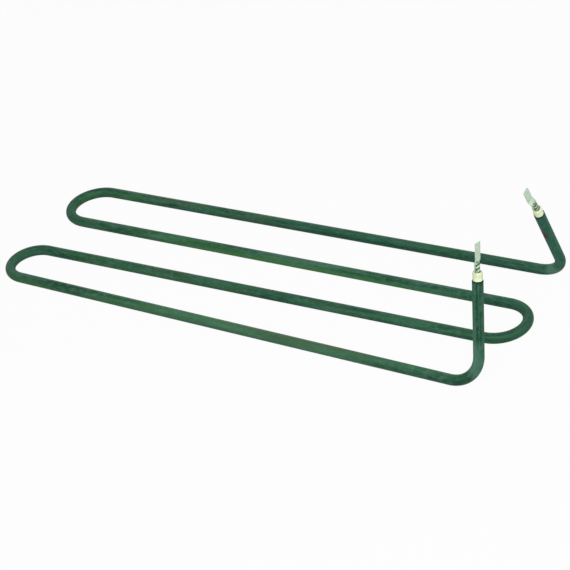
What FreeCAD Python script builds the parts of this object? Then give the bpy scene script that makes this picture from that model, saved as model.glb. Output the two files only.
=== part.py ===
import FreeCAD, Part
import math
import os

# Tubular heating element. One metal-sheathed tube is bent into a flat serpentine of
# four runs, and its two ends are bent up into legs. Each leg ends in a ceramic bead,
# a terminal pin and a flat push-on tab. All sizes are in millimetres and degrees.

# Sheath
TUBE_OD = 8.5            # outside diameter of the sheath
TUBE_WALL = 0.9          # wall of the sheath
MOUTH_CHAMFER = 0.25     # broken outer edge where the tube was cut off

# Serpentine, measured on the centre line
MIDDLE_PITCH = 47.0      # between the two inner runs, joined by the right-hand bend
FRONT_PITCH = 42.0       # between the front pair of runs at their left-hand bend
REAR_PITCH = 48.0        # between the rear pair of runs at their left-hand bend
FRONT_RUN = 408.0        # straight length of each run in the front pair
REAR_RUN = 405.0         # straight length of each run in the rear pair
HALF_TURN = 180.0
FRONT_SPLAY_ANGLE = 2.0  # the front run springs outwards from its neighbour
REAR_SPLAY_ANGLE = 0.3   # the rear run springs outwards from its neighbour

# Legs
LEG_BEND_RADIUS = 25.0   # centre-line radius where a run turns up
LEG_STRAIGHT = 61.0      # from the end of that bend to the mouth of the tube
FRONT_LEAN_ANGLE = 11.0  # the front leg leans in over the serpentine
REAR_LEAN_ANGLE = 24.5   # the rear leg leans in further

# Inside the tube
COIL_OD = 3.4            # outside diameter of the resistance winding
PIN_DIAMETER = 4.0       # cold pin that leads the current in
COLD_LENGTH = 50.0       # pin buried below the mouth, where the tube stays cool
SEAL_LENGTH = 5.0        # moisture seal under the bead

# Ceramic bead
BEAD_HEIGHT = 6.8        # head of the bead, which sits on the mouth
BEAD_DIAMETER = 7.4      # of that head
BEAD_PLUG = 4.0          # part of the bead that goes down into the mouth
BEAD_TOP_ROUND = 0.4
BEAD_CLEARANCE = 0.1     # radial gap to the tube outside and to the pin inside

# Terminal
TERMINAL_TURN_ANGLE = -5.0  # both terminals stand turned about their legs by this much
STUB_HEIGHT = 6.8        # pin standing above the bead
STUB_CHAMFER = 0.4
WELD_FLAT = 1.8          # depth of the flat on the stub that the tab is welded to
TAB_FOOT_GAP = 0.3       # from the bead's top to the foot of the tab
TAB_THICKNESS = 0.8
TAB_WIDTH = 6.3
TAB_REACH = 16.6         # height of the tab's tip above the stub
TAB_BEND_RADIUS = 1.5    # on the inside of each bend of the step
TAB_STEP_ANGLE = 30.0    # slope of the step between the foot and the blade
TAB_TIP_CUT = 0.6        # corners taken off the tip
TAB_HOLE_DIAMETER = 1.9
TAB_HOLE_FROM_TIP = 4.3
FRONT_TAB_STEP = 0.9     # the front blade is set back over the pin's axis
REAR_TAB_STEP = -2.0     # the rear blade is set further from it

OUTPUT_FOLDER = "parts"
SHORTEST_EDGE = 1e-6

UP = FreeCAD.Vector(0, 0, 1)
RIGHT = FreeCAD.Vector(1, 0, 0)
BACK = FreeCAD.Vector(0, 1, 0)

TUBE_RADIUS = TUBE_OD / 2
BORE_RADIUS = TUBE_RADIUS - TUBE_WALL
PIN_RADIUS = PIN_DIAMETER / 2
FILL_DEPTH = BEAD_PLUG + SEAL_LENGTH
TAB_FOOT = BEAD_HEIGHT + TAB_FOOT_GAP
STUB_TOP = BEAD_HEIGHT + STUB_HEIGHT
TAB_TOP = STUB_TOP + TAB_REACH


class Route:
    """Centre line made of straight stretches and tangent arcs, kept as point tuples."""

    def __init__(self, point, heading):
        self.point = point
        self.heading = heading
        self.pieces = []

    def straight(self, length):
        """Go on in the present direction, unless there is no way to go."""
        if length < SHORTEST_EDGE:
            return
        end = self.point + self.heading * length
        self.pieces.append((self.point, end))
        self.point = end

    def bend(self, radius, inside, degrees):
        """Turn towards the unit vector inside, which is square to the heading."""
        centre = self.point + inside * radius
        heading = self.heading

        def on_arc(angle):
            return centre + (heading * math.sin(angle) - inside * math.cos(angle)) * radius

        turn = math.radians(degrees)
        end = on_arc(turn)
        self.pieces.append((self.point, on_arc(turn / 2), end))
        self.point = end
        self.heading = heading * math.cos(turn) + inside * math.sin(turn)


class Half:
    """One half of the element, from the middle of the right-hand bend to its terminal."""

    def __init__(self, name, side, pitch, run, splay, lean, tab_step):
        self.name = name
        self.side = side
        self.pitch = pitch
        self.run = run
        self.splay = splay
        self.lean = lean
        self.tab_step = tab_step

    def route(self, depth=0.0):
        """Centre line out to a given depth below the tube's mouth."""
        outwards = BACK * self.side
        route = Route(RIGHT * (MIDDLE_PITCH / 2), outwards)
        route.bend(MIDDLE_PITCH / 2, -RIGHT, 90)
        route.straight(self.run)
        route.bend(self.pitch / 2, outwards, HALF_TURN - self.splay)
        route.straight(self.run)
        route.bend(LEG_BEND_RADIUS, self.leg_direction(route.heading), 90)
        route.straight(LEG_STRAIGHT - depth)
        return route

    def leg_direction(self, heading):
        """Upwards, leaning over the serpentine."""
        lean = math.radians(self.lean)
        inwards = UP.cross(heading) * -self.side
        return UP * math.cos(lean) + inwards * math.sin(lean)

    def mouth(self):
        """Placement with its origin in the tube's mouth, Z out of it and X away from the runs."""
        route = self.route()
        z_axis = route.heading
        y_axis = z_axis.cross(RIGHT).normalize()
        x_axis = y_axis.cross(z_axis)
        square = FreeCAD.Rotation(x_axis, y_axis, z_axis, "ZYX")
        turned = square.multiply(FreeCAD.Rotation(UP, TERMINAL_TURN_ANGLE))
        return FreeCAD.Placement(route.point, turned)


FRONT = Half(
    "front", -1, FRONT_PITCH, FRONT_RUN, FRONT_SPLAY_ANGLE, FRONT_LEAN_ANGLE, FRONT_TAB_STEP,
)
REAR = Half("rear", 1, REAR_PITCH, REAR_RUN, REAR_SPLAY_ANGLE, REAR_LEAN_ANGLE, REAR_TAB_STEP)


def whole_route(depth):
    """Centre line from the front terminal to the rear one, both cut back by depth."""
    front = [tuple(reversed(piece)) for piece in reversed(FRONT.route(depth).pieces)]
    return front + REAR.route(depth).pieces


def edge_through(points):
    """A straight edge through two points, or an arc through three."""
    if len(points) == 2:
        return Part.LineSegment(*points).toShape()
    return Part.Arc(*points).toShape()


def swept(profile, pieces):
    """Solid that a closed profile makes when it follows a centre line."""
    path = Part.Wire([edge_through(points) for points in pieces])
    return path.makePipeShell([profile], True, False)


def round_bar(radius, depth):
    """Round bar that follows the whole centre line."""
    pieces = whole_route(depth)
    start, following = pieces[0][0], pieces[0][1]
    circle = Part.Wire([Part.Circle(start, following - start, radius).toShape()])
    return swept(circle, pieces)


def turned(profile):
    """Solid of revolution about Z, from (radius, height) corners."""
    corners = [FreeCAD.Vector(radius, 0, height) for radius, height in profile]
    face = Part.Face(Part.makePolygon(corners + corners[:1]))
    return face.revolve(FreeCAD.Vector(0, 0, 0), UP, 360)


def ring(outer_radius, inner_radius, bottom, top):
    """Plain bush between two heights."""
    return turned([
        (inner_radius, bottom), (outer_radius, bottom),
        (outer_radius, top), (inner_radius, top),
    ])


def round_edges(solid, radius, height):
    """Circular edges of a given radius at a given height of a turned solid."""
    found = []
    for edge in solid.Edges:
        curve = edge.Curve
        if curve.TypeId != "Part::GeomCircle":
            continue
        if abs(curve.Radius - radius) < 1e-6 and abs(curve.Center.z - height) < 1e-6:
            found.append(edge)
    return found


def make_sheath():
    """Seamless tube, open at both mouths, with its cut edges broken."""
    outside = round_bar(TUBE_RADIUS, 0.0)
    mouths = [half.mouth().Base for half in (FRONT, REAR)]
    rims = []
    for edge in outside.Edges:
        curve = edge.Curve
        if curve.TypeId != "Part::GeomCircle" or abs(curve.Radius - TUBE_RADIUS) > 1e-6:
            continue
        if min(curve.Center.distanceToPoint(mouth) for mouth in mouths) < 1e-6:
            rims.append(edge)
    outside = outside.makeChamfer(MOUTH_CHAMFER, rims)
    return outside.cut(round_bar(BORE_RADIUS, 0.0))


def make_coil():
    """Resistance winding, as one closed form with the powder that fills its turns."""
    return round_bar(COIL_OD / 2, COLD_LENGTH)


def make_fill():
    """Compacted insulating powder between the sheath and what carries the current."""
    fill = round_bar(BORE_RADIUS, FILL_DEPTH).cut(make_coil())
    for half in (FRONT, REAR):
        pin = Part.makeCylinder(PIN_RADIUS, COLD_LENGTH, FreeCAD.Vector(0, 0, -COLD_LENGTH), UP)
        pin.Placement = half.mouth()
        fill = fill.cut(pin)
    return fill


def make_seal():
    """Moisture seal that closes the tube under the bead."""
    return ring(BORE_RADIUS, PIN_RADIUS, -FILL_DEPTH, -BEAD_PLUG)


def make_bead():
    """Ceramic bead: a plug that goes down into the mouth and a head that sits on it."""
    hole_radius = PIN_RADIUS + BEAD_CLEARANCE
    plug_radius = BORE_RADIUS - BEAD_CLEARANCE
    head_radius = BEAD_DIAMETER / 2
    bead = turned([
        (hole_radius, -BEAD_PLUG), (plug_radius, -BEAD_PLUG), (plug_radius, 0),
        (head_radius, 0), (head_radius, BEAD_HEIGHT), (hole_radius, BEAD_HEIGHT),
    ])
    return bead.makeFillet(BEAD_TOP_ROUND, round_edges(bead, head_radius, BEAD_HEIGHT))


def make_pin():
    """Straight pin from the winding to the stub, with a flat for the tab."""
    pin = turned([
        (0, -COLD_LENGTH), (PIN_RADIUS, -COLD_LENGTH),
        (PIN_RADIUS, STUB_TOP - STUB_CHAMFER), (PIN_RADIUS - STUB_CHAMFER, STUB_TOP),
        (0, STUB_TOP),
    ])
    flat = Part.makeBox(
        WELD_FLAT, PIN_DIAMETER, STUB_HEIGHT,
        FreeCAD.Vector(-PIN_RADIUS, -PIN_RADIUS, BEAD_HEIGHT),
    )
    return pin.cut(flat)


def tab_route(step):
    """Centre line of the tab seen from its edge: foot, step to one side, blade."""
    middle = -PIN_RADIUS + WELD_FLAT - TAB_THICKNESS / 2
    radius = TAB_BEND_RADIUS + TAB_THICKNESS / 2
    turn = min(math.radians(TAB_STEP_ANGLE), math.acos(1 - abs(step) / (2 * radius)))
    aside = RIGHT * math.copysign(1.0, step)
    ramp = (abs(step) - 2 * radius * (1 - math.cos(turn))) / math.sin(turn)
    route = Route(FreeCAD.Vector(middle, 0, TAB_FOOT), UP)
    route.straight(STUB_TOP - TAB_FOOT)
    route.bend(radius, aside, math.degrees(turn))
    route.straight(ramp)
    route.bend(radius, UP * math.sin(turn) - aside * math.cos(turn), math.degrees(turn))
    route.straight(TAB_TOP - route.point.z)
    return route


def tab_blank(reach):
    """Block with the tab's front outline, as deep as reach on both sides."""
    half_width = TAB_WIDTH / 2
    right_hand = [
        (half_width, TAB_FOOT), (half_width, TAB_TOP - TAB_TIP_CUT),
        (half_width - TAB_TIP_CUT, TAB_TOP),
    ]
    outline = right_hand + [(-y, z) for y, z in reversed(right_hand)]
    corners = [FreeCAD.Vector(-reach, y, z) for y, z in outline]
    return Part.Face(Part.makePolygon(corners + corners[:1])).extrude(RIGHT * (2 * reach))


def make_tab(step):
    """Push-on tab: a stepped strip, trimmed to its front outline and pierced near the tip."""
    route = tab_route(step)
    start = route.pieces[0][0]
    across, along = RIGHT * (TAB_THICKNESS / 2), BACK * (TAB_WIDTH / 2)
    corners = [start + across + along, start - across + along,
               start - across - along, start + across - along]
    strip = swept(Part.makePolygon(corners + corners[:1]), route.pieces)

    reach = abs(start.x) + abs(step) + TAB_THICKNESS
    hole_place = FreeCAD.Vector(-reach, 0, TAB_TOP - TAB_HOLE_FROM_TIP)
    hole = Part.makeCylinder(TAB_HOLE_DIAMETER / 2, 2 * reach, hole_place, RIGHT)
    return strip.common(tab_blank(reach)).cut(hole)


def build():
    """Every piece by its name, in place about the right-hand bend's centre."""
    pieces = {
        "sheath_tube": make_sheath(),
        "insulating_fill": make_fill(),
        "resistance_coil": make_coil(),
    }
    for half in (FRONT, REAR):
        own = {
            "end_seal": make_seal(),
            "ceramic_bead": make_bead(),
            "terminal_pin": make_pin(),
            "tab_terminal": make_tab(half.tab_step),
        }
        for name, shape in own.items():
            shape.Placement = half.mouth()
            pieces[name + "_" + half.name] = shape
    return pieces


def only_solid(shape):
    """The single solid that a piece is made of."""
    if len(shape.Solids) != 1:
        raise ValueError("a piece has %d solids instead of one" % len(shape.Solids))
    return shape.Solids[0]


def main():
    """Build the pieces, set the origin under the middle of the whole and write them out."""
    os.makedirs(OUTPUT_FOLDER, exist_ok=True)
    pieces = {name: only_solid(shape) for name, shape in build().items()}
    box = Part.makeCompound(list(pieces.values())).optimalBoundingBox(False, False)
    origin = FreeCAD.Vector(box.Center.x, box.Center.y, box.ZMin)
    for name, solid in pieces.items():
        solid.translate(-origin)
        if not solid.isValid():
            raise ValueError(name + " is not a valid solid")
        solid.exportStep(os.path.join(OUTPUT_FOLDER, name + ".step"))
        print("%-22s %10.1f mm3" % (name, solid.Volume))
    print("overall %.2f x %.2f x %.2f mm" % (box.XLength, box.YLength, box.ZLength))
    for half in (FRONT, REAR):
        point = half.mouth().Base - origin
        heading = half.route().heading
        print("%s mouth %.3f %.3f %.3f" % (half.name, point.x, point.y, point.z))
        print("%s axis %.5f %.5f %.5f" % (half.name, heading.x, heading.y, heading.z))


main()
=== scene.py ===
"""Scene of a tubular heating element: a green oxidised sheath in four runs, with two terminals.

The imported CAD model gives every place. Sizes are in millimetres until a mesh is made.
"""

import logging
import math
from collections.abc import Mapping, Sequence
from dataclasses import dataclass, field
from enum import Enum

import bmesh
import bpy
from mathutils import Matrix, Vector


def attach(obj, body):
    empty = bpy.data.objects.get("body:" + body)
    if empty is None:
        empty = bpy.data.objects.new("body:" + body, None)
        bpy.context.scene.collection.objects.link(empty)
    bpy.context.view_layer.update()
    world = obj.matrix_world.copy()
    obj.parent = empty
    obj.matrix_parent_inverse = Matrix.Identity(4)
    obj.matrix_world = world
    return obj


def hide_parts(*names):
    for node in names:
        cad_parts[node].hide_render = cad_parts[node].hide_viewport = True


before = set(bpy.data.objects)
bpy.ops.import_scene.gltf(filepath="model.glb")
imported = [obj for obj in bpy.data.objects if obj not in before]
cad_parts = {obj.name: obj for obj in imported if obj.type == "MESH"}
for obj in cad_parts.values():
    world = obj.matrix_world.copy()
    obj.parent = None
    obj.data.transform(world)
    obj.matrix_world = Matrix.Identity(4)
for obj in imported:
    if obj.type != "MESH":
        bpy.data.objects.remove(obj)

Tree = bpy.types.NodeTree
Node = bpy.types.Node
Socket = bpy.types.NodeSocket
Mesh = bpy.types.Mesh
Piece = bpy.types.Object
Surface = tuple[Socket, Socket, Socket]    # colour, then roughness and height from 0 to 1
Triple = tuple[float, float, float]
Pair = tuple[float, float]

LOG = logging.getLogger("heating_element")

MM = 0.001
BODY = "root"
WHITE = "#FFFFFF"

# Attributes that the points of a mesh carry
PLACE = "own_place"      # place in its own piece, in metres
FROM_END = "from_end"    # way along a swept piece to its nearer end, in metres
ALONG = "along"          # way along a swept piece from its start, in metres
AROUND = "around"        # place in the section of a swept piece, in metres
GROOVE = "groove"        # 1 at the bottom of a pin's groove and 0 on its lands

UP = Vector((0.0, 0.0, 1.0))
TO_THE_RIGHT = Vector((1.0, 0.0, 0.0))
BEND_CENTRE = Vector((201.973, 3.092, 4.25))    # middle of the right-hand bend, in the row frame

SHARP_TURN = math.radians(40)    # faces that turn by more than this meet in a sharp edge
MOUTH_TURN = math.radians(60)    # as above, for the cut ends of the tube
FLAT_TURN = math.radians(1)      # triangles that turn by less than this are one flat face
MERGE_DISTANCE = 1e-6            # metres between corners that are one corner
EDGE_SEGMENTS = 2                # facets of a broken edge
INWARDS = -1.0                   # way in which the tube's wall grows from its outside
MIX_UNDER, MIX_OVER, MIX_RESULT = 6, 7, 2    # numbers of a Mix node's colour sockets


class Side(Enum):
    """Half of the element, by the way its runs lie from the middle bend."""

    FRONT = -1
    REAR = 1

    @property
    def word(self) -> str:
        """The word that the CAD nodes of this half end in."""
        return self.name.lower()


class Slot(Enum):
    """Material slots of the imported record."""

    SHEATH = "sheath"
    POWDER = "powder"
    WINDING = "winding"
    SEAL = "seal"
    BEAD = "bead"
    PIN = "pin"
    TAB = "tab"


# Nodes and colours


def add_node(
    tree: Tree, kind: str, sockets: Mapping[str | int, object] | None = None, **settings: object
) -> Node:
    """Adds one node with its settings and links.

    Args:
        tree: The tree that gets the node.
        kind: Blender's name of the node's type.
        sockets: Input name or number, with a value or the output that feeds it.
        **settings: The node's own properties, set before its sockets.

    Returns:
        The new node.
    """
    node = tree.nodes.new(kind)
    for name, value in settings.items():
        setattr(node, name, value)
    for key, value in (sockets or {}).items():
        if isinstance(value, Socket):
            tree.links.new(value, node.inputs[key])
        else:
            node.inputs[key].default_value = value
    return node


def emptied(owner: bpy.types.Material | bpy.types.World) -> Tree:
    """Gives a material or a world a node tree with nothing in it.

    Args:
        owner: The material or the world.

    Returns:
        Its tree.
    """
    owner.use_nodes = True
    owner.node_tree.nodes.clear()
    return owner.node_tree


def linear(colour: str) -> tuple[float, float, float, float]:
    """Turns an sRGB hex colour to linear light, by the curve of the sRGB standard.

    Args:
        colour: A colour such as "#2B5B45".

    Returns:
        Red, green, blue and an alpha of 1.
    """
    parts = [int(colour[i : i + 2], 16) / 255 for i in (1, 3, 5)]
    return (*(c / 12.92 if c <= 0.04045 else ((c + 0.055) / 1.055) ** 2.4 for c in parts), 1.0)


@dataclass(frozen=True)
class Patches:
    """An uneven pattern of patches with soft edges."""

    size: Triple            # of one patch along each axis, in millimetres
    edges: Pair             # noise values at which a patch starts and is full
    detail: float = 3.0     # number of finer layers in the noise
    unrest: float = 0.55    # strength of each finer layer beside the one before

    def share(self, tree: Tree, place: Socket) -> Socket:
        """Lays the pattern over a surface.

        Args:
            tree: The material's tree.
            place: Coordinates in metres.

        Returns:
            A value from 0 outside the patches to 1 inside them.
        """
        counted = add_node(
            tree, "ShaderNodeVectorMath",
            {0: place, 1: tuple(1 / (s * MM) for s in self.size)}, operation="MULTIPLY",
        )
        noise = add_node(
            tree, "ShaderNodeTexNoise",
            {"Vector": counted.outputs[0], "Scale": 1.0, "Detail": self.detail,
             "Roughness": self.unrest},
        )
        spread = add_node(
            tree, "ShaderNodeMapRange",
            {"Value": noise.outputs[0], "From Min": self.edges[0], "From Max": self.edges[1]},
            interpolation_type="SMOOTHSTEP",
        )
        return spread.outputs[0]


@dataclass(frozen=True)
class Layer:
    """A colour that lies over others, and how much of it shows, from 0 to 1."""

    colour: str
    strength: float

    def over(self, tree: Tree, share: Socket, under: Socket | str) -> Socket:
        """Lays the colour over another.

        Args:
            tree: The material's tree.
            share: Where the colour lies, from 0 to 1.
            under: The lower colour, as an output or sRGB hex.

        Returns:
            The mixed colour.
        """
        part = add_node(tree, "ShaderNodeMath", {0: share, 1: self.strength}, operation="MULTIPLY")
        lower = linear(under) if isinstance(under, str) else under
        return add_node(
            tree, "ShaderNodeMix",
            {0: part.outputs[0], MIX_UNDER: lower, MIX_OVER: linear(self.colour)},
            data_type="RGBA",
        ).outputs[MIX_RESULT]


@dataclass(frozen=True)
class PatchLayer(Layer):
    """A colour that lies in patches."""

    patches: Patches

    def share(self, tree: Tree, place: Socket) -> Socket:
        """Where the colour lies, from 0 to 1."""
        return self.patches.share(tree, place)


@dataclass(frozen=True)
class SkinMark(Layer):
    """Soft-edged skin mark, painted shade or light on the tube, in row frame millimetres."""

    place: Triple
    reach: Triple
    core: float = 0.35    # share of the reach inside which it is full

    def share(self, tree: Tree, whole: Socket) -> Socket:
        """Where the mark lies.

        Args:
            tree: The material's tree.
            whole: Place in the whole element, in metres.

        Returns:
            1 in the middle of the mark and 0 away from it.
        """
        aside = add_node(
            tree, "ShaderNodeVectorMath",
            {0: whole, 1: tuple(c * MM for c in self.place)}, operation="SUBTRACT",
        )
        counted = add_node(
            tree, "ShaderNodeVectorMath",
            {0: aside.outputs[0], 1: tuple(1 / (r * MM) for r in self.reach)},
            operation="MULTIPLY",
        )
        away = add_node(
            tree, "ShaderNodeVectorMath", {0: counted.outputs[0]}, operation="LENGTH"
        ).outputs["Value"]
        return add_node(
            tree, "ShaderNodeMapRange", {"Value": away, "From Min": 1.0, "From Max": self.core},
            interpolation_type="SMOOTHSTEP",
        ).outputs[0]


# Finishes


@dataclass(frozen=True)
class Finish:
    """One material, with its gloss and the nodes that colour it."""

    name: str
    slot: Slot
    metallic: float
    roughness: Pair    # of its smoothest and its roughest places
    relief: float      # height of its grain, in millimetres
    shine: float = field(default=0.5, kw_only=True)    # light that it mirrors, usually 0.5

    def material(self) -> bpy.types.Material:
        """Makes the material.

        Returns:
            The finished material.
        """
        made = bpy.data.materials.new(self.name)
        tree = emptied(made)
        colour, gloss, height = self.paint(tree)
        rough = add_node(
            tree, "ShaderNodeMapRange",
            {"Value": gloss, "To Min": self.roughness[0], "To Max": self.roughness[1]},
        )
        bump = add_node(
            tree, "ShaderNodeBump",
            {"Height": height, "Strength": 1.0, "Distance": self.relief * MM},
        )
        shader = add_node(
            tree, "ShaderNodeBsdfPrincipled",
            {"Base Color": colour, "Metallic": self.metallic, "Roughness": rough.outputs[0],
             "Specular IOR Level": self.shine, "Normal": bump.outputs[0]},
        )
        add_node(tree, "ShaderNodeOutputMaterial", {"Surface": shader.outputs["BSDF"]})
        return made

    def paint(self, tree: Tree) -> Surface:
        """Lays out the surface; each finish has its own way.

        Args:
            tree: The material's tree.

        Returns:
            Colour, roughness and height.
        """
        raise NotImplementedError


@dataclass(frozen=True)
class GreenOxideSteel(Finish):
    """Drawn nickel-chromium steel tube with the green oxide skin of its annealing."""

    # Chromium oxide grown in the furnace is a thin, matt green skin on drawn metal. The eye gets a
    # dark green with a satin light, cloudy where the skin is thicker, yellower towards the bends
    # that lay deepest in the furnace, brownish in places and streaked along the tube by the
    # drawing die. Handling leaves paler rubbed places and specks, and the mouths are darker at the
    # end. Marks paint shade on the bends and on the inner front and rear runs, and paint light on
    # the front run.
    thick_skin: str = "#1B4333"
    skin: PatchLayer = PatchLayer("#31604A", 1.0, Patches((5, 5, 60), (0.41, 0.59)))
    yellow: PatchLayer = PatchLayer("#3A6F3C", 0.8, Patches((7, 7, 110), (0.4, 0.6)))
    brown: PatchLayer = PatchLayer("#4A5A3E", 0.35, Patches((9, 9, 80), (0.54, 0.68)))
    worn: PatchLayer = PatchLayer("#5C8373", 0.3, Patches((4, 4, 90), (0.54, 0.68)))
    # The die's lines are finer than a pixel, so they are drawn about 2 mm wide.
    streaks: PatchLayer = PatchLayer("#4A7D54", 0.28, Patches((2, 2, 150), (0.42, 0.7), 2.0))
    mottle: PatchLayer = PatchLayer("#5C8373", 0.35, Patches((2.4, 2.4, 5.5), (0.42, 0.72)))
    specks: PatchLayer = PatchLayer("#5C8373", 0.65, Patches((1.3, 1.3, 2.2), (0.7, 0.76), 1.0))
    burnt: Layer = Layer("#16301F", 0.85)
    grain: Patches = Patches((0.5, 0.5, 1.2), (0.3, 0.7), 2.0)
    yellow_span: Pair = (150.0, -260.0)    # places along the runs where it is least and full
    yellow_least: float = 0.25
    cool_span: Pair = (26.0, 8.0)          # as above by height, because the legs stayed cooler
    burnt_reach: float = 2.6               # down from each mouth
    marks: tuple[SkinMark, ...] = (
        # front run: painted light along its middle, brown on top further right
        SkinMark("#55805F", 0.36, (30, -70, 4.25), (190, 22, 22)),
        SkinMark("#44583C", 0.5, (90, -70, 8.5), (120, 9, 5)),
        # inner front run: painted shade, a darker, cooler green
        SkinMark("#234F40", 0.2, (20, -20, 4.25), (280, 15, 20)),
        # inner rear run: yellow-green below, rubbed on top
        SkinMark("#477F49", 0.7, (10, 22.3, 2.6), (190, 7, 5)),
        SkinMark("#5C7A6C", 0.3, (20, 27.5, 8.5), (60, 7, 4)),
        # rear run: painted shade, a darker, cooler green, darkest along its underside
        SkinMark("#234F40", 0.25, (80, 76, 4.25), (260, 15, 15)),
        SkinMark("#1C4435", 0.5, (60, 73, 0.5), (290, 8, 8)),
        # the three bends: painted shade, darker all round
        SkinMark("#1E4636", 0.5, (224, 3, 3), (44, 44, 22)),
        SkinMark("#1E4636", 0.42, (-222, 54, 4.25), (52, 50, 22)),
        SkinMark("#1E4636", 0.26, (-224, -41, 4.25), (50, 44, 22)),
        # rear leg: bluer green
        SkinMark("#2E6753", 0.55, (227, 47, 62), (16, 48, 75)),
        # foot of the front leg, and the bend under the rear one: rubbed
        SkinMark("#5F8B7A", 0.55, (223.5, -76, 26), (8, 8, 24)),
        SkinMark("#5F8B7A", 0.7, (218, 70.5, 8.5), (11, 9, 10)),
        # rear leg: one brown-red stain
        SkinMark("#552B2B", 0.85, (225.74, 47.63, 58.54), (5, 5.6, 7.4)),
    )

    def paint(self, tree: Tree) -> Surface:
        """Clouds, yellow and brown patches, streaks, rubbed places, marks and darker mouths.

        Args:
            tree: The material's tree.

        Returns:
            Colour, roughness and height.
        """
        place = add_node(tree, "ShaderNodeAttribute", attribute_name=PLACE).outputs["Vector"]
        whole = add_node(tree, "ShaderNodeTexCoord").outputs["Object"]
        along, _, height = add_node(tree, "ShaderNodeSeparateXYZ", {0: whole}).outputs
        clouds = self.skin.share(tree, place)
        colour = self.skin.over(tree, clouds, self.thick_skin)
        yellowed = self.yellow.share(tree, place)
        yellowed = self.faded(tree, yellowed, along, self.yellow_span, self.yellow_least)
        yellowed = self.faded(tree, yellowed, height, self.cool_span)
        colour = self.yellow.over(tree, yellowed, colour)
        browned = self.faded(tree, self.brown.share(tree, place), height, self.cool_span)
        colour = self.brown.over(tree, browned, colour)
        for layer in (self.worn, self.streaks, self.mottle):
            colour = layer.over(tree, layer.share(tree, place), colour)
        for mark in self.marks:
            colour = mark.over(tree, mark.share(tree, whole), colour)
        colour = self.specks.over(tree, self.specks.share(tree, place), colour)
        from_end = add_node(tree, "ShaderNodeAttribute", attribute_name=FROM_END).outputs["Fac"]
        mouths = add_node(
            tree, "ShaderNodeMapRange",
            {"Value": from_end, "From Min": self.burnt_reach * MM, "From Max": 0.0},
            interpolation_type="SMOOTHSTEP",
        )
        colour = self.burnt.over(tree, mouths.outputs[0], colour)
        return colour, clouds, self.grain.share(tree, place)

    def faded(
        self, tree: Tree, value: Socket, place: Socket, span: Pair, least: float = 0.0
    ) -> Socket:
        """Fades a value out along one axis of the element.

        Args:
            tree: The material's tree.
            value: The value.
            place: Place along that axis, in metres.
            span: Where the value is least and where it is full, in millimetres.
            least: Share of it that stays where it is least.

        Returns:
            The faded value.
        """
        kept = add_node(
            tree, "ShaderNodeMapRange",
            {"Value": place, "From Min": span[0] * MM, "From Max": span[1] * MM, "To Min": least},
        )
        return add_node(
            tree, "ShaderNodeMath", {0: kept.outputs[0], 1: value}, operation="MULTIPLY"
        ).outputs[0]


@dataclass(frozen=True)
class FiredSteatite(Finish):
    """Pressed and fired steatite bead, unglazed."""

    # Steatite is a dense soapstone ceramic. The eye gets an even cream with a faint green cast,
    # paler near its foot, a soft shine, small tan flecks and the fine grain of the pressed powder.
    # Round the pin its top carries a darker olive-brown ring.
    body: str = "#E8F3C8"
    pale: str = "#F4FCDD"
    tone: Patches = Patches((3.5, 3.5, 2.5), (0.35, 0.65))
    tone_strength: float = 0.5
    foot_strength: float = 0.7
    foot_span: Pair = (3.0, 1.0)    # heights where it ends and is full
    fleck: PatchLayer = PatchLayer("#C4C394", 0.4, Patches((0.7, 0.7, 0.7), (0.66, 0.74), 1.0))
    grain: Patches = Patches((0.3, 0.3, 0.3), (0.3, 0.7), 2.0)
    varnish: Layer = Layer("#6F7A4E", 0.9)
    varnish_reach: float = 3.1
    varnish_fade: float = 0.4
    varnish_above: float = 6.7

    def paint(self, tree: Tree) -> Surface:
        """A pale and a darker cream, with flecks, pressed grain and the olive ring on top.

        Args:
            tree: The material's tree.

        Returns:
            Colour, roughness and height.
        """
        place = add_node(tree, "ShaderNodeAttribute", attribute_name=PLACE).outputs["Vector"]
        own = add_node(tree, "ShaderNodeSeparateXYZ", {0: place}).outputs
        ends, full = self.foot_span
        foot = add_node(
            tree, "ShaderNodeMapRange",
            {"Value": own["Z"], "From Min": ends * MM, "From Max": full * MM},
            interpolation_type="SMOOTHSTEP",
        ).outputs[0]
        tone = self.tone.share(tree, place)
        colour = Layer(self.pale, self.tone_strength).over(tree, tone, self.body)
        colour = Layer(self.pale, self.foot_strength).over(tree, foot, colour)
        colour = self.fleck.over(tree, self.fleck.share(tree, place), colour)
        colour = self.varnish.over(tree, self.varnished(tree, own), colour)
        return colour, tone, self.grain.share(tree, place)

    def varnished(self, tree: Tree, own: Sequence[Socket]) -> Socket:
        """Where the olive ring lies: on the top, round the pin.

        Args:
            tree: The material's tree.
            own: The bead's own coordinates, taken apart.

        Returns:
            1 on the ring and 0 elsewhere.
        """
        x, y, z = own
        flat = add_node(tree, "ShaderNodeCombineXYZ", {0: x, 1: y})
        out = add_node(
            tree, "ShaderNodeVectorMath", {0: flat.outputs[0]}, operation="LENGTH"
        ).outputs["Value"]
        near = add_node(
            tree, "ShaderNodeMapRange",
            {"Value": out, "From Min": self.varnish_reach * MM,
             "From Max": (self.varnish_reach - self.varnish_fade) * MM},
            interpolation_type="SMOOTHSTEP",
        )
        top = add_node(
            tree, "ShaderNodeMath", {0: z, 1: self.varnish_above * MM}, operation="GREATER_THAN"
        )
        return add_node(
            tree, "ShaderNodeMath", {0: near.outputs[0], 1: top.outputs[0]}, operation="MULTIPLY"
        ).outputs[0]


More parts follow.
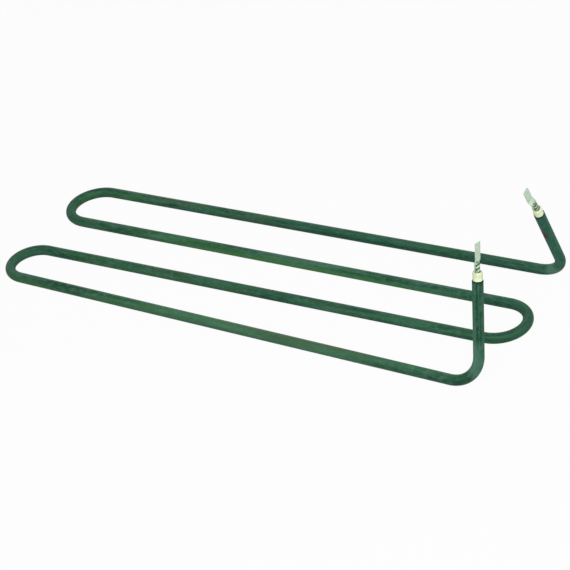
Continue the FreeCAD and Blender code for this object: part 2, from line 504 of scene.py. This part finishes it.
@dataclass(frozen=True)
class NickelPlatedStrip(Finish):
    """Rolled steel strip, nickel plated and stamped into a push-on tab."""

    # Dull nickel over rolled strip. The eye gets a light grey with a faint green cast, a soft
    # shine drawn out along the blade by the rolling, and duller spots where the plate is thin.
    plate: str = "#C4D7C4"
    # Rolling lines are a few hundredths of a millimetre wide, and are drawn 0.25 mm wide.
    rolled: PatchLayer = PatchLayer("#98AD99", 0.45, Patches((0.25, 0.25, 9.0), (0.35, 0.7), 2.0))
    spots: PatchLayer = PatchLayer("#6F7F6C", 0.45, Patches((0.9, 0.9, 1.3), (0.6, 0.72), 2.0))

    def paint(self, tree: Tree) -> Surface:
        """Rolling lines along the blade and dull spots.

        Args:
            tree: The material's tree.

        Returns:
            Colour, roughness and height.
        """
        place = add_node(tree, "ShaderNodeAttribute", attribute_name=PLACE).outputs["Vector"]
        rolled = self.rolled.share(tree, place)
        colour = self.rolled.over(tree, rolled, self.plate)
        colour = self.spots.over(tree, self.spots.share(tree, place), colour)
        return colour, rolled, rolled


@dataclass(frozen=True)
class BlackenedSteel(Finish):
    """Mild steel terminal pin with a rolled spiral groove, darkened by the annealing."""

    # The furnace leaves a dark olive scale in the groove and a paler worn land between its turns.
    # The dark in the groove is that scale and also painted shade. The eye gets pale and dark
    # bands that climb round the stub.
    land: str = "#B9CCB4"
    bloom: PatchLayer = PatchLayer("#8A9C82", 0.6, Patches((1.6, 1.6, 2.4), (0.4, 0.66)))
    scale: Layer = Layer("#3C5843", 0.95)
    scale_span: Pair = (0.15, 0.6)    # groove values where it starts and is full
    grain: Patches = Patches((0.35, 0.35, 0.8), (0.3, 0.7), 2.0)

    def paint(self, tree: Tree) -> Surface:
        """Pale lands, dark grooves and an olive bloom.

        Args:
            tree: The material's tree.

        Returns:
            Colour, roughness and height.
        """
        place = add_node(tree, "ShaderNodeAttribute", attribute_name=PLACE).outputs["Vector"]
        depth = add_node(tree, "ShaderNodeAttribute", attribute_name=GROOVE).outputs["Fac"]
        starts, full = self.scale_span
        dark = add_node(
            tree, "ShaderNodeMapRange", {"Value": depth, "From Min": starts, "From Max": full},
            interpolation_type="SMOOTHSTEP",
        ).outputs[0]
        colour = self.bloom.over(tree, self.bloom.share(tree, place), self.land)
        # dark olive scale in the groove, with painted shade of the groove
        colour = self.scale.over(tree, dark, colour)
        return colour, dark, self.grain.share(tree, place)


@dataclass(frozen=True)
class HiddenFinish(Finish):
    """Material of a piece that lies inside the tube, in two tones."""

    light: str
    dark: str
    tone_size: float
    tone_edges: Pair = (0.4, 0.6)

    def paint(self, tree: Tree) -> Surface:
        """Two tones, which also give the gloss and the grain.

        Args:
            tree: The material's tree.

        Returns:
            Colour, roughness and height.
        """
        whole = add_node(tree, "ShaderNodeTexCoord").outputs["Object"]
        tone = Patches((self.tone_size,) * 3, self.tone_edges).share(tree, whole)
        return Layer(self.dark, 1.0).over(tree, tone, self.light), tone, tone


SHEATH_FINISH = GreenOxideSteel(
    "Green oxidised nickel-chromium steel, drawn and annealed", Slot.SHEATH,
    metallic=0.1, roughness=(0.45, 0.6), relief=0.012, shine=0.06,
)
PALE_BEAD_FINISH = FiredSteatite(
    "Steatite ceramic, pressed and fired", Slot.BEAD,
    metallic=0.0, roughness=(0.42, 0.56), relief=0.01,
)
# The same ceramic painted a shade darker: painted shade for the front bead.
SHADED_BEAD_FINISH = FiredSteatite(
    "Steatite ceramic, pressed, fired and browned", Slot.BEAD,
    metallic=0.0, roughness=(0.42, 0.56), relief=0.01, body="#D4DEB2", pale="#EDF7D5",
)
TAB_FINISH = NickelPlatedStrip(
    "Nickel plated steel strip, rolled and stamped", Slot.TAB,
    metallic=1.0, roughness=(0.3, 0.46), relief=0.004,
)
PIN_FINISH = BlackenedSteel(
    "Mild steel pin, groove rolled and scaled", Slot.PIN,
    metallic=0.6, roughness=(0.42, 0.7), relief=0.01,
)
# Pressed powder: chalky white with fine grains of magnesium oxide.
POWDER_FINISH = HiddenFinish(
    "Magnesium oxide powder, compacted", Slot.POWDER,
    metallic=0.0, roughness=(0.85, 0.95), relief=0.03,
    light="#E9E7E0", dark="#D6D2C6", tone_size=0.4,
)
# Close turns of drawn wire: fine bright and dark bands, about a millimetre a turn.
WINDING_FINISH = HiddenFinish(
    "Nickel-chromium resistance wire, wound", Slot.WINDING,
    metallic=1.0, roughness=(0.35, 0.5), relief=0.05,
    light="#9C978D", dark="#5A554C", tone_size=1.0,
)
# Cured silicone: an even grey-white with a soft shine.
SEAL_FINISH = HiddenFinish(
    "Silicone resin seal, cast", Slot.SEAL,
    metallic=0.0, roughness=(0.35, 0.45), relief=0.01,
    light="#C9C2B4", dark="#B8AF9E", tone_size=2.0,
)


# Lines, rules and meshes


@dataclass
class Route:
    """A centre line that is walked forward in straight lengths and tangent arcs."""

    point: Vector
    heading: Vector
    arc_step: float = 3.0    # degrees
    run_step: float = 12.0
    run_end: float = 1.5     # from each end of a run to the point next to it
    points: list[Vector] = field(default_factory=list)

    def __post_init__(self) -> None:
        """Puts down the first point."""
        self.points.append(self.point)

    def straight(self, length: float) -> None:
        """Walks straight on, with a point close to each end so that the shading stays level.

        Args:
            length: Distance in millimetres.
        """
        count = max(1, round(length / self.run_step))
        stops = {length * i / count for i in range(1, count + 1)}
        stops |= {self.run_end, length - self.run_end}
        self.points += [self.point + self.heading * stop for stop in sorted(stops)]
        self.point = self.points[-1]

    def bend(self, radius: float, towards: Vector, angle: float) -> None:
        """Walks round an arc.

        Args:
            radius: Radius of the centre line in millimetres.
            towards: Unit vector from the point to the arc's centre.
            angle: How far to turn, in degrees.
        """
        centre = self.point + towards * radius
        count = math.ceil(angle / self.arc_step)
        for i in range(1, count + 1):
            turn = math.radians(angle * i / count)
            self.points.append(
                centre - towards * radius * math.cos(turn) + self.heading * radius * math.sin(turn)
            )
        self.heading = self.heading * math.cos(turn) + towards * math.sin(turn)
        self.point = self.points[-1]


def in_scene(name: str, data: bpy.types.ID) -> Piece:
    """Makes an object and links it to the scene.

    Args:
        name: Its name.
        data: The mesh, lamp or camera that it shows.

    Returns:
        The object.
    """
    made = bpy.data.objects.new(name, data)
    bpy.context.scene.collection.objects.link(made)
    return made


def new_rule(name: str, values: Mapping[str, object]) -> tuple[Tree, Node]:
    """Starts a Geometry Nodes tree.

    Args:
        name: The tree's name.
        values: Names of its inputs, with values that give their types.

    Returns:
        The tree and its Group Input node.
    """
    tree = bpy.data.node_groups.new(name, "GeometryNodeTree")
    for way in ("INPUT", "OUTPUT"):
        tree.interface.new_socket("Geometry", in_out=way, socket_type="NodeSocketGeometry")
    for word, value in values.items():
        kind = type(value).__name__.title()    # Float, Int or Material
        tree.interface.new_socket(word, in_out="INPUT", socket_type=f"NodeSocket{kind}")
    return tree, add_node(tree, "NodeGroupInput")


def close_rule(tree: Tree, shape: Socket, finish: Socket) -> None:
    """Ends a tree in smooth shading, Realize Instances and Set Material.

    Args:
        tree: The tree.
        shape: The output that holds the finished shape.
        finish: The output that holds its material.
    """
    smooth = add_node(tree, "GeometryNodeSetShadeSmooth", {"Geometry": shape})
    real = add_node(tree, "GeometryNodeRealizeInstances", {"Geometry": smooth.outputs[0]})
    dressed = add_node(
        tree, "GeometryNodeSetMaterial", {"Geometry": real.outputs[0], "Material": finish}
    )
    add_node(tree, "NodeGroupOutput", {"Geometry": dressed.outputs[0]})


def kept_mesh(points: Sequence[Vector], rule: Tree, values: Mapping[str, object]) -> Mesh:
    """Runs a tree on one open line and keeps the result as a plain mesh.

    Args:
        points: The line's points in millimetres.
        rule: The Geometry Nodes tree.
        values: A value for each of the tree's inputs.

    Returns:
        The plain mesh.
    """
    line = bpy.data.meshes.new("line")
    line.from_pydata([p * MM for p in points], [(i, i + 1) for i in range(len(points) - 1)], [])
    piece = in_scene("line", line)
    modifier = piece.modifiers.new("rule", "NODES")
    modifier.node_group = rule
    for item in rule.interface.items_tree:
        if item.in_out == "INPUT" and item.name in values:
            modifier[item.identifier] = values[item.name]
    return applied(piece)


def break_edges(piece: Piece, width: float, turn: float) -> None:
    """Rounds the sharp edges of a piece a little.

    Args:
        piece: The piece, which gets a live modifier.
        width: Width of the broken edge in millimetres.
        turn: Faces that turn by more than this, in radians, meet in a sharp edge.
    """
    edge = piece.modifiers.new("broken edge", "BEVEL")
    edge.width, edge.segments = width * MM, EDGE_SEGMENTS
    edge.limit_method, edge.angle_limit = "ANGLE", turn


def applied(piece: Piece) -> Mesh:
    """Turns an object with its modifiers to a plain mesh.

    Args:
        piece: The object, which is removed.

    Returns:
        The mesh that it showed.
    """
    graph = bpy.context.evaluated_depsgraph_get()
    mesh = bpy.data.meshes.new_from_object(piece.evaluated_get(graph), depsgraph=graph)
    bpy.data.objects.remove(piece)
    return mesh


def round_section(tree: Tree, given: Node, closed: bool) -> Socket:
    """Sweeps a circle along the line, and keeps each point's place in the unrolled tube.

    Args:
        tree: The tree, whose inputs include Radius and Sides.
        given: Its Group Input node.
        closed: Whether the two ends are closed.

    Returns:
        The swept mesh.
    """
    line = add_node(tree, "GeometryNodeMeshToCurve", {"Mesh": given.outputs["Geometry"]})
    walked = add_node(tree, "GeometryNodeSplineParameter").outputs["Length"]
    whole = add_node(tree, "GeometryNodeSplineLength").outputs["Length"]
    left = add_node(tree, "ShaderNodeMath", {0: whole, 1: walked}, operation="SUBTRACT")
    nearer = add_node(tree, "ShaderNodeMath", {0: walked, 1: left.outputs[0]}, operation="MINIMUM")
    for name, length in ((FROM_END, nearer.outputs[0]), (ALONG, walked)):
        line = add_node(
            tree, "GeometryNodeStoreNamedAttribute",
            {"Geometry": line.outputs[0], "Name": name, "Value": length},
            data_type="FLOAT", domain="POINT",
        )
    circle = add_node(
        tree, "GeometryNodeCurvePrimitiveCircle",
        {"Resolution": given.outputs["Sides"], "Radius": given.outputs["Radius"]}, mode="RADIUS",
    )
    around = add_node(
        tree, "GeometryNodeStoreNamedAttribute",
        {"Geometry": circle.outputs[0], "Name": AROUND,
         "Value": add_node(tree, "GeometryNodeInputPosition").outputs[0]},
        data_type="FLOAT_VECTOR", domain="POINT",
    )
    swept = add_node(
        tree, "GeometryNodeCurveToMesh",
        {"Curve": line.outputs[0], "Profile Curve": around.outputs[0], "Fill Caps": closed},
    )
    section = add_node(
        tree, "GeometryNodeInputNamedAttribute", {"Name": AROUND}, data_type="FLOAT_VECTOR"
    )
    where = add_node(tree, "ShaderNodeSeparateXYZ", {0: section.outputs[0]})
    far = add_node(tree, "GeometryNodeInputNamedAttribute", {"Name": ALONG}, data_type="FLOAT")
    place = add_node(
        tree, "ShaderNodeCombineXYZ", {0: where.outputs[0], 1: where.outputs[1], 2: far.outputs[0]}
    )
    return add_node(
        tree, "GeometryNodeStoreNamedAttribute",
        {"Geometry": swept.outputs[0], "Name": PLACE, "Value": place.outputs[0]},
        data_type="FLOAT_VECTOR", domain="POINT",
    ).outputs[0]


def finished(name: str, mesh: Mesh, slot: Slot, *nodes: str) -> None:
    """Puts a finished mesh into the scene in place of its CAD nodes, and reports it.

    Args:
        name: The piece's name.
        mesh: Its mesh, in metres in the row frame.
        slot: The material slot of its finish; not used.
        *nodes: The CAD nodes that it stands for.
    """
    mesh.name = name
    piece = in_scene(name, mesh)
    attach(piece, BODY)
    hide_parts(*nodes)
    triangles = sum(len(p.vertices) - 2 for p in mesh.polygons)
    LOG.info("%s: %d triangles, stands for %s", name, triangles, ", ".join(nodes))


# Sub-assemblies


@dataclass(frozen=True)
class Half:
    """One half of the centre line, from the middle of the right-hand bend to a mouth."""

    side: Side
    pitch: float
    run: float
    splay: float    # degrees by which its left-hand bend stays short of half a turn
    lean: float     # degrees by which its leg leans inwards
    middle_radius: float = 23.5
    leg_radius: float = 25.0
    leg_straight: float = 61.0
    terminal_turn: float = -5.0    # degrees about the leg

    def walk(self) -> Route:
        """Walks this half of the centre line.

        Returns:
            The route, which ends at the mouth.
        """
        outwards = Vector((0.0, self.side.value, 0.0))
        route = Route(BEND_CENTRE + TO_THE_RIGHT * self.middle_radius, outwards)
        route.bend(self.middle_radius, -TO_THE_RIGHT, 90.0)
        route.straight(self.run)
        route.bend(self.pitch / 2, outwards, 180.0 - self.splay)
        route.straight(self.run)
        inwards = UP.cross(route.heading) * -self.side.value
        lean = math.radians(self.lean)
        route.bend(self.leg_radius, inwards * math.sin(lean) + UP * math.cos(lean), 90.0)
        route.straight(self.leg_straight)
        return route

    def mouth(self) -> Matrix:
        """The mouth's own frame, with z along the leg.

        Returns:
            A matrix from that frame to the row frame, in millimetres.
        """
        route = self.walk()
        z = route.heading.normalized()
        y = z.cross(TO_THE_RIGHT).normalized()
        square = Matrix((y.cross(z), y, z)).transposed().to_4x4()
        turn = Matrix.Rotation(math.radians(self.terminal_turn), 4, "Z")
        return Matrix.Translation(route.point) @ square @ turn


FRONT_HALF = Half(Side.FRONT, pitch=42.0, run=408.0, splay=2.0, lean=11.0)
REAR_HALF = Half(Side.REAR, pitch=48.0, run=405.0, splay=0.3, lean=24.5)


@dataclass
class Sheath:
    """The green tube, bent in one piece from mouth to mouth."""

    halves: tuple[Half, Half]
    diameter: float = 8.5
    wall: float = 0.9
    mouth_edge: float = 0.25
    sides: int = 48

    def line(self) -> list[Vector]:
        """Points of the whole centre line, from the front mouth to the rear one."""
        front, rear = (half.walk().points for half in self.halves)
        return front[::-1] + rear[1:]

    def build(self) -> None:
        """Sweeps the tube, gives it its wall and breaks the edges of its mouths."""
        values = {
            "Radius": self.diameter / 2 * MM, "Sides": self.sides,
            "Finish": SHEATH_FINISH.material(),
        }
        rule, given = new_rule("Tube along a line", values)
        close_rule(rule, round_section(rule, given, closed=False), given.outputs["Finish"])
        tube = in_scene("tube_wall", kept_mesh(self.line(), rule, values))
        wall = tube.modifiers.new("wall", "SOLIDIFY")
        wall.thickness, wall.offset = self.wall * MM, INWARDS
        break_edges(tube, self.mouth_edge, MOUTH_TURN)
        mesh = applied(tube)
        mesh.set_sharp_from_angle(angle=SHARP_TURN)
        finished("green_sheath", mesh, Slot.SHEATH, "sheath_tube")


@dataclass
class Terminal:
    """What stands in one mouth: the ceramic bead, the grooved pin and the push-on tab."""

    half: Half
    bead_finish: Finish
    bore: float = 6.7
    bead_gap: float = 0.1
    bead_plug: float = 4.0
    bead_height: float = 6.8
    bead_head: float = 7.4
    bead_round: float = 0.4
    bead_edge: float = 0.1
    round_steps: int = 6
    pin_diameter: float = 4.0
    pin_depth: float = 50.0
    stub_height: float = 6.8
    stub_chamfer: float = 0.4
    weld_flat: float = 1.8
    groove_starts: int = 2
    groove_spacing: float = 3.4
    groove_depth: float = 0.45
    groove_narrowing: float = 1.6    # power that narrows it from an even wave
    groove_rings: int = 56
    ring_gap: float = 0.01           # from the last plain ring up to the groove's foot
    tab_edge: float = 0.08
    sides: int = 64

    def build(self) -> None:
        """Builds the bead, the pin and the tab."""
        self.bead()
        self.pin()
        self.tab()

    def bead_outline(self) -> list[Pair]:
        """Draws the bead's section, from the hole's foot round to its top.

        Returns:
            Radius and height of each corner.
        """
        hole = self.pin_diameter / 2 + self.bead_gap
        plug, head, soft = self.bore / 2 - self.bead_gap, self.bead_head / 2, self.bead_round
        foot, height, edge = -self.bead_plug, self.bead_height, self.bead_edge
        turns = [math.radians(90 / self.round_steps * i) for i in range(self.round_steps + 1)]
        shoulder = [
            (head - soft * (1 - math.cos(a)), height - soft * (1 - math.sin(a))) for a in turns
        ]
        return [
            (hole, foot), (plug - edge, foot), (plug, foot + edge), (plug, 0.0),
            (head - edge, 0.0), (head, edge), *shoulder, (hole + edge, height),
            (hole, height - edge),
        ]

    def bead(self) -> None:
        """Turns the bead's section round the pin."""
        outline = self.bead_outline()
        points, faces = [], []
        for i in range(self.sides):
            turn = 2 * math.pi * i / self.sides
            points += [Vector((r * math.cos(turn), r * math.sin(turn), z)) for r, z in outline]
            here, there = i * len(outline), (i + 1) % self.sides * len(outline)
            for j in range(len(outline)):
                k = (j + 1) % len(outline)
                faces.append((here + j, there + j, there + k, here + k))
        mesh = bpy.data.meshes.new("bead")
        mesh.from_pydata(points, [], faces)
        node = f"ceramic_bead_{self.half.side.word}"
        self.place(f"{node}_fired", mesh, self.bead_finish, node)

    def pin_line(self) -> list[Vector]:
        """Sets out the pin's rings, close together where the groove is.

        Returns:
            The middle of each ring.
        """
        foot, top = self.bead_height, self.bead_height + self.stub_height
        count = self.groove_rings
        stub = [foot + (top - self.stub_chamfer - foot) * i / count for i in range(count + 1)]
        below = [-self.pin_depth, 0.0, foot - self.ring_gap]
        return [UP * z for z in (*below, *stub, top - self.stub_chamfer / 2, top)]

    def pin_rule(self, values: Mapping[str, object]) -> Tree:
        """Makes the tree that cuts the groove, the flat and the chamfer into a round bar.

        Args:
            values: Names of its inputs, with their values.

        Returns:
            The Geometry Nodes tree.
        """
        tree, given = new_rule("Grooved pin", values)
        bar = round_section(tree, given, closed=True)
        position = add_node(tree, "GeometryNodeInputPosition").outputs[0]
        parts = add_node(tree, "ShaderNodeSeparateXYZ", {0: position}).outputs
        # Each row works out one value from the tree's inputs, the point's place or rows above it.
        steps = (
            ("bearing", "ARCTAN2", "Y", "X"),
            ("climbed", "MULTIPLY", "bearing", "Starts"),
            ("turns", "DIVIDE", "Z", "Spacing"),
            ("climb", "MULTIPLY", "turns", 2 * math.pi),
            ("phase", "SUBTRACT", "climbed", "climb"),
            ("wave", "COSINE", "phase"),
            ("even", "MULTIPLY_ADD", "wave", 0.5, 0.5),
            ("narrowed", "POWER", "even", "Narrowing"),
            ("above", "GREATER_THAN", "Z", "Foot"),
            ("groove", "MULTIPLY", "narrowed", "above"),
            ("dip", "MULTIPLY", "groove", "Depth"),
            ("lowered", "SUBTRACT", "Radius", "dip"),
            ("under_top", "SUBTRACT", "Top", "Z"),
            ("end", "SUBTRACT", "Radius", "Chamfer"),
            ("chamfered", "ADD", "under_top", "end"),
            ("reach", "MINIMUM", "lowered", "chamfered"),
            ("share", "DIVIDE", "reach", "Radius"),
            ("across", "MULTIPLY", "X", "share"),
            ("back", "MULTIPLY", "Y", "share"),
            # The flat lies on the pin's left. Below the groove its limit is the full radius.
            ("flat", "MULTIPLY", "Flat", "above"),
            ("limit", "SUBTRACT", "flat", "Radius"),
            ("trimmed", "MAXIMUM", "across", "limit"),
        )
        known = {output.name: output for output in (*given.outputs, *parts)}
        for name, operation, *terms in steps:
            sockets = {i: known.get(term, term) for i, term in enumerate(terms)}
            known[name] = add_node(tree, "ShaderNodeMath", sockets, operation=operation).outputs[0]
        marked = add_node(
            tree, "GeometryNodeStoreNamedAttribute",
            {"Geometry": bar, "Name": GROOVE, "Value": known["groove"]},
            data_type="FLOAT", domain="POINT",
        )
        place = add_node(
            tree, "ShaderNodeCombineXYZ", {0: known["trimmed"], 1: known["back"], 2: known["Z"]}
        )
        moved = add_node(
            tree, "GeometryNodeSetPosition",
            {"Geometry": marked.outputs[0], "Position": place.outputs[0]},
        )
        close_rule(tree, moved.outputs[0], given.outputs["Finish"])
        return tree

    def pin(self) -> None:
        """Sweeps the pin and cuts its groove."""
        values = {
            "Radius": self.pin_diameter / 2 * MM, "Sides": self.sides,
            "Spacing": self.groove_spacing * MM, "Starts": self.groove_starts,
            "Depth": self.groove_depth * MM, "Narrowing": self.groove_narrowing,
            "Foot": (self.bead_height - self.ring_gap / 2) * MM,
            "Top": (self.bead_height + self.stub_height) * MM,
            "Chamfer": self.stub_chamfer * MM, "Flat": self.weld_flat * MM,
            "Finish": PIN_FINISH.material(),
        }
        mesh = kept_mesh(self.pin_line(), self.pin_rule(values), values)
        mesh.transform(Matrix.Scale(1 / MM, 4))
        node = f"terminal_pin_{self.half.side.word}"
        self.place(f"{node}_grooved", mesh, PIN_FINISH, node)

    def tab(self) -> None:
        """Takes the tab's own solid and breaks its stamped edges."""
        node = f"tab_terminal_{self.half.side.word}"
        shape = bmesh.new()
        shape.from_mesh(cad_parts[node].data)
        bmesh.ops.remove_doubles(shape, verts=shape.verts, dist=MERGE_DISTANCE)
        bmesh.ops.dissolve_limit(shape, angle_limit=FLAT_TURN, verts=shape.verts, edges=shape.edges)
        shape.verts.index_update()
        mesh = bpy.data.meshes.new(node)
        mesh.from_pydata(
            [v.co for v in shape.verts], [], [[v.index for v in f.verts] for f in shape.faces]
        )
        shape.free()
        strip = in_scene("strip", mesh)
        break_edges(strip, self.tab_edge, SHARP_TURN)
        mesh = applied(strip)
        mesh.transform(Matrix.Scale(1 / MM, 4))
        mesh.transform(self.half.mouth().inverted())
        self.place(f"tab_{self.half.side.word}_plated", mesh, TAB_FINISH, node)

    def place(self, name: str, mesh: Mesh, finish: Finish, node: str) -> None:
        """Gives a mesh its own coordinates and a material, and puts it on the mouth.

        Args:
            name: The piece's name.
            mesh: Its mesh, in millimetres in the mouth's frame.
            finish: Its finish.
            node: The CAD node that it stands for.
        """
        own = mesh.attributes.get(PLACE) or mesh.attributes.new(PLACE, "FLOAT_VECTOR", "POINT")
        own.data.foreach_set("vector", [c * MM for v in mesh.vertices for c in v.co])
        if not mesh.materials:
            mesh.materials.append(finish.material())
        mesh.transform(self.half.mouth())
        mesh.transform(Matrix.Scale(MM, 4))
        mesh.shade_smooth()
        mesh.set_sharp_from_angle(angle=SHARP_TURN)
        finished(name, mesh, finish.slot, node)


@dataclass
class Inside:
    """The pieces that lie inside the tube and stay as the CAD has them."""

    finishes: tuple[tuple[str, Finish], ...] = (
        ("insulating_fill", POWDER_FINISH), ("resistance_coil", WINDING_FINISH),
        ("end_seal_front", SEAL_FINISH), ("end_seal_rear", SEAL_FINISH),
    )

    def dress(self) -> None:
        """Gives each of these CAD nodes its material."""
        for node, finish in self.finishes:
            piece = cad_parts[node]
            material = finish.material()
            if not piece.material_slots:
                piece.data.materials.append(material)
            for place in piece.material_slots:
                place.material = material
            LOG.info("%s: kept from the CAD, %s", node, finish.name)


# Studio


@dataclass(frozen=True)
class Lamp:
    """One soft square lamp that looks at the element, in metres and watts."""

    name: str
    place: Triple
    side: float
    power: float

    def build(self) -> None:
        """Adds the lamp."""
        data = bpy.data.lights.new(self.name, "AREA")
        data.size, data.energy = self.side, self.power
        lamp = in_scene(self.name, data)
        lamp.location = self.place
        lamp.rotation_euler = Vector(self.place).to_track_quat("Z", "Y").to_euler()


@dataclass(frozen=True)
class Studio:
    """Pale floor, white surroundings and soft lamps."""

    floor_size: float = 14.0
    floor_colour: str = "#C9CECA"
    floor_matt: float = 0.9
    floor_white: float = 0.95    # how far the eye gets plain white in its place
    sky: float = 0.33
    lamps: tuple[Lamp, ...] = (
        Lamp("front_softbox", (0.6, -0.95, 0.9), 0.8, 12.0),
        Lamp("right_fill", (2.9, -0.7, 1.2), 2.2, 24.0),
        Lamp("rear_fill", (-1.2, 2.5, 0.9), 1.8, 16.0),
        Lamp("overhead", (-0.3, 0.5, 1.9), 1.6, 1.0),
    )

    def build(self) -> None:
        """Builds the surroundings, the floor and the lamps."""
        self.surroundings()
        self.floor()
        for lamp in self.lamps:
            lamp.build()

    def seen(self, tree: Tree) -> Socket:
        """1 for rays that see the surroundings, straight or in a shiny surface.

        Args:
            tree: The tree of the floor or the world.

        Returns:
            The value.
        """
        rays = add_node(tree, "ShaderNodeLightPath").outputs
        shiny = add_node(
            tree, "ShaderNodeMath",
            {0: rays["Is Glossy Ray"], 1: rays["Is Transmission Ray"]}, operation="ADD",
        )
        return add_node(
            tree, "ShaderNodeMath",
            {0: rays["Is Camera Ray"], 1: shiny.outputs[0]}, operation="ADD", use_clamp=True,
        ).outputs[0]

    def surroundings(self) -> None:
        """A white world that gives a plain, even light."""
        world = bpy.data.worlds.new("White surroundings")
        bpy.context.scene.world = world
        tree = emptied(world)
        light, white = (
            add_node(tree, "ShaderNodeBackground", {"Color": linear(WHITE), "Strength": strength})
            for strength in (self.sky, 1.0)
        )
        both = add_node(
            tree, "ShaderNodeMixShader",
            {0: self.seen(tree), 1: light.outputs[0], 2: white.outputs[0]},
        )
        add_node(tree, "ShaderNodeOutputWorld", {"Surface": both.outputs[0]})

    def floor(self) -> None:
        """A plain pale floor that keeps the element's soft shadow."""
        half = self.floor_size / 2
        mesh = bpy.data.meshes.new("floor")
        mesh.from_pydata(
            [(-half, -half, 0), (half, -half, 0), (half, half, 0), (-half, half, 0)], [],
            [(0, 1, 2, 3)],
        )
        paper = bpy.data.materials.new("White card, matt")
        tree = emptied(paper)
        card = add_node(
            tree, "ShaderNodeBsdfDiffuse",
            {"Color": linear(self.floor_colour), "Roughness": self.floor_matt},
        )
        white = add_node(tree, "ShaderNodeEmission", {"Color": linear(WHITE), "Strength": 1.0})
        share = add_node(
            tree, "ShaderNodeMath", {0: self.seen(tree), 1: self.floor_white}, operation="MULTIPLY"
        )
        both = add_node(
            tree, "ShaderNodeMixShader",
            {0: share.outputs[0], 1: card.outputs[0], 2: white.outputs[0]},
        )
        add_node(tree, "ShaderNodeOutputMaterial", {"Surface": both.outputs[0]})
        mesh.materials.append(paper)
        in_scene("floor", mesh)


@dataclass(frozen=True)
class PhotoCamera:
    """Camera fitted to the photograph's runs, bends and legs, in degrees and millimetres."""

    azimuth: float = 35.733
    elevation: float = 33.162
    roll: float = -10.355
    # From the middle of the right-hand bend back, to its own right and up
    distance: float = 1835.633
    aside: float = -162.62
    above: float = 27.049
    lens: float = 151.58
    sensor: float = 36.0

    def build(self) -> None:
        """Adds the camera and makes it the scene's own."""
        turn, rise, roll = (math.radians(a) for a in (self.azimuth, self.elevation, self.roll))
        back = Vector((
            math.sin(turn) * math.cos(rise), -math.cos(turn) * math.cos(rise), math.sin(rise),
        ))
        level = Vector((math.cos(turn), math.sin(turn), 0.0))
        upright = back.cross(level)
        right = level * math.cos(roll) + upright * math.sin(roll)
        up = upright * math.cos(roll) - level * math.sin(roll)
        place = BEND_CENTRE + back * self.distance + right * self.aside + up * self.above
        data = bpy.data.cameras.new("photo_camera")
        data.lens, data.sensor_width = self.lens, self.sensor
        camera = in_scene("photo_camera", data)
        turned = Matrix((right, up, back)).transposed().to_4x4()
        camera.matrix_world = Matrix.Translation(place * MM) @ turned
        bpy.context.scene.camera = camera


def main() -> None:
    """Builds the element, its studio and the camera."""
    logging.basicConfig(level=logging.INFO, format="%(name)s: %(message)s")
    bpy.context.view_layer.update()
    bpy.context.scene.view_settings.view_transform = "Standard"
    PhotoCamera().build()
    Sheath((FRONT_HALF, REAR_HALF)).build()
    Terminal(FRONT_HALF, SHADED_BEAD_FINISH).build()
    Terminal(REAR_HALF, PALE_BEAD_FINISH).build()
    Inside().dress()
    Studio().build()


if __name__ == "__main__":
    main()
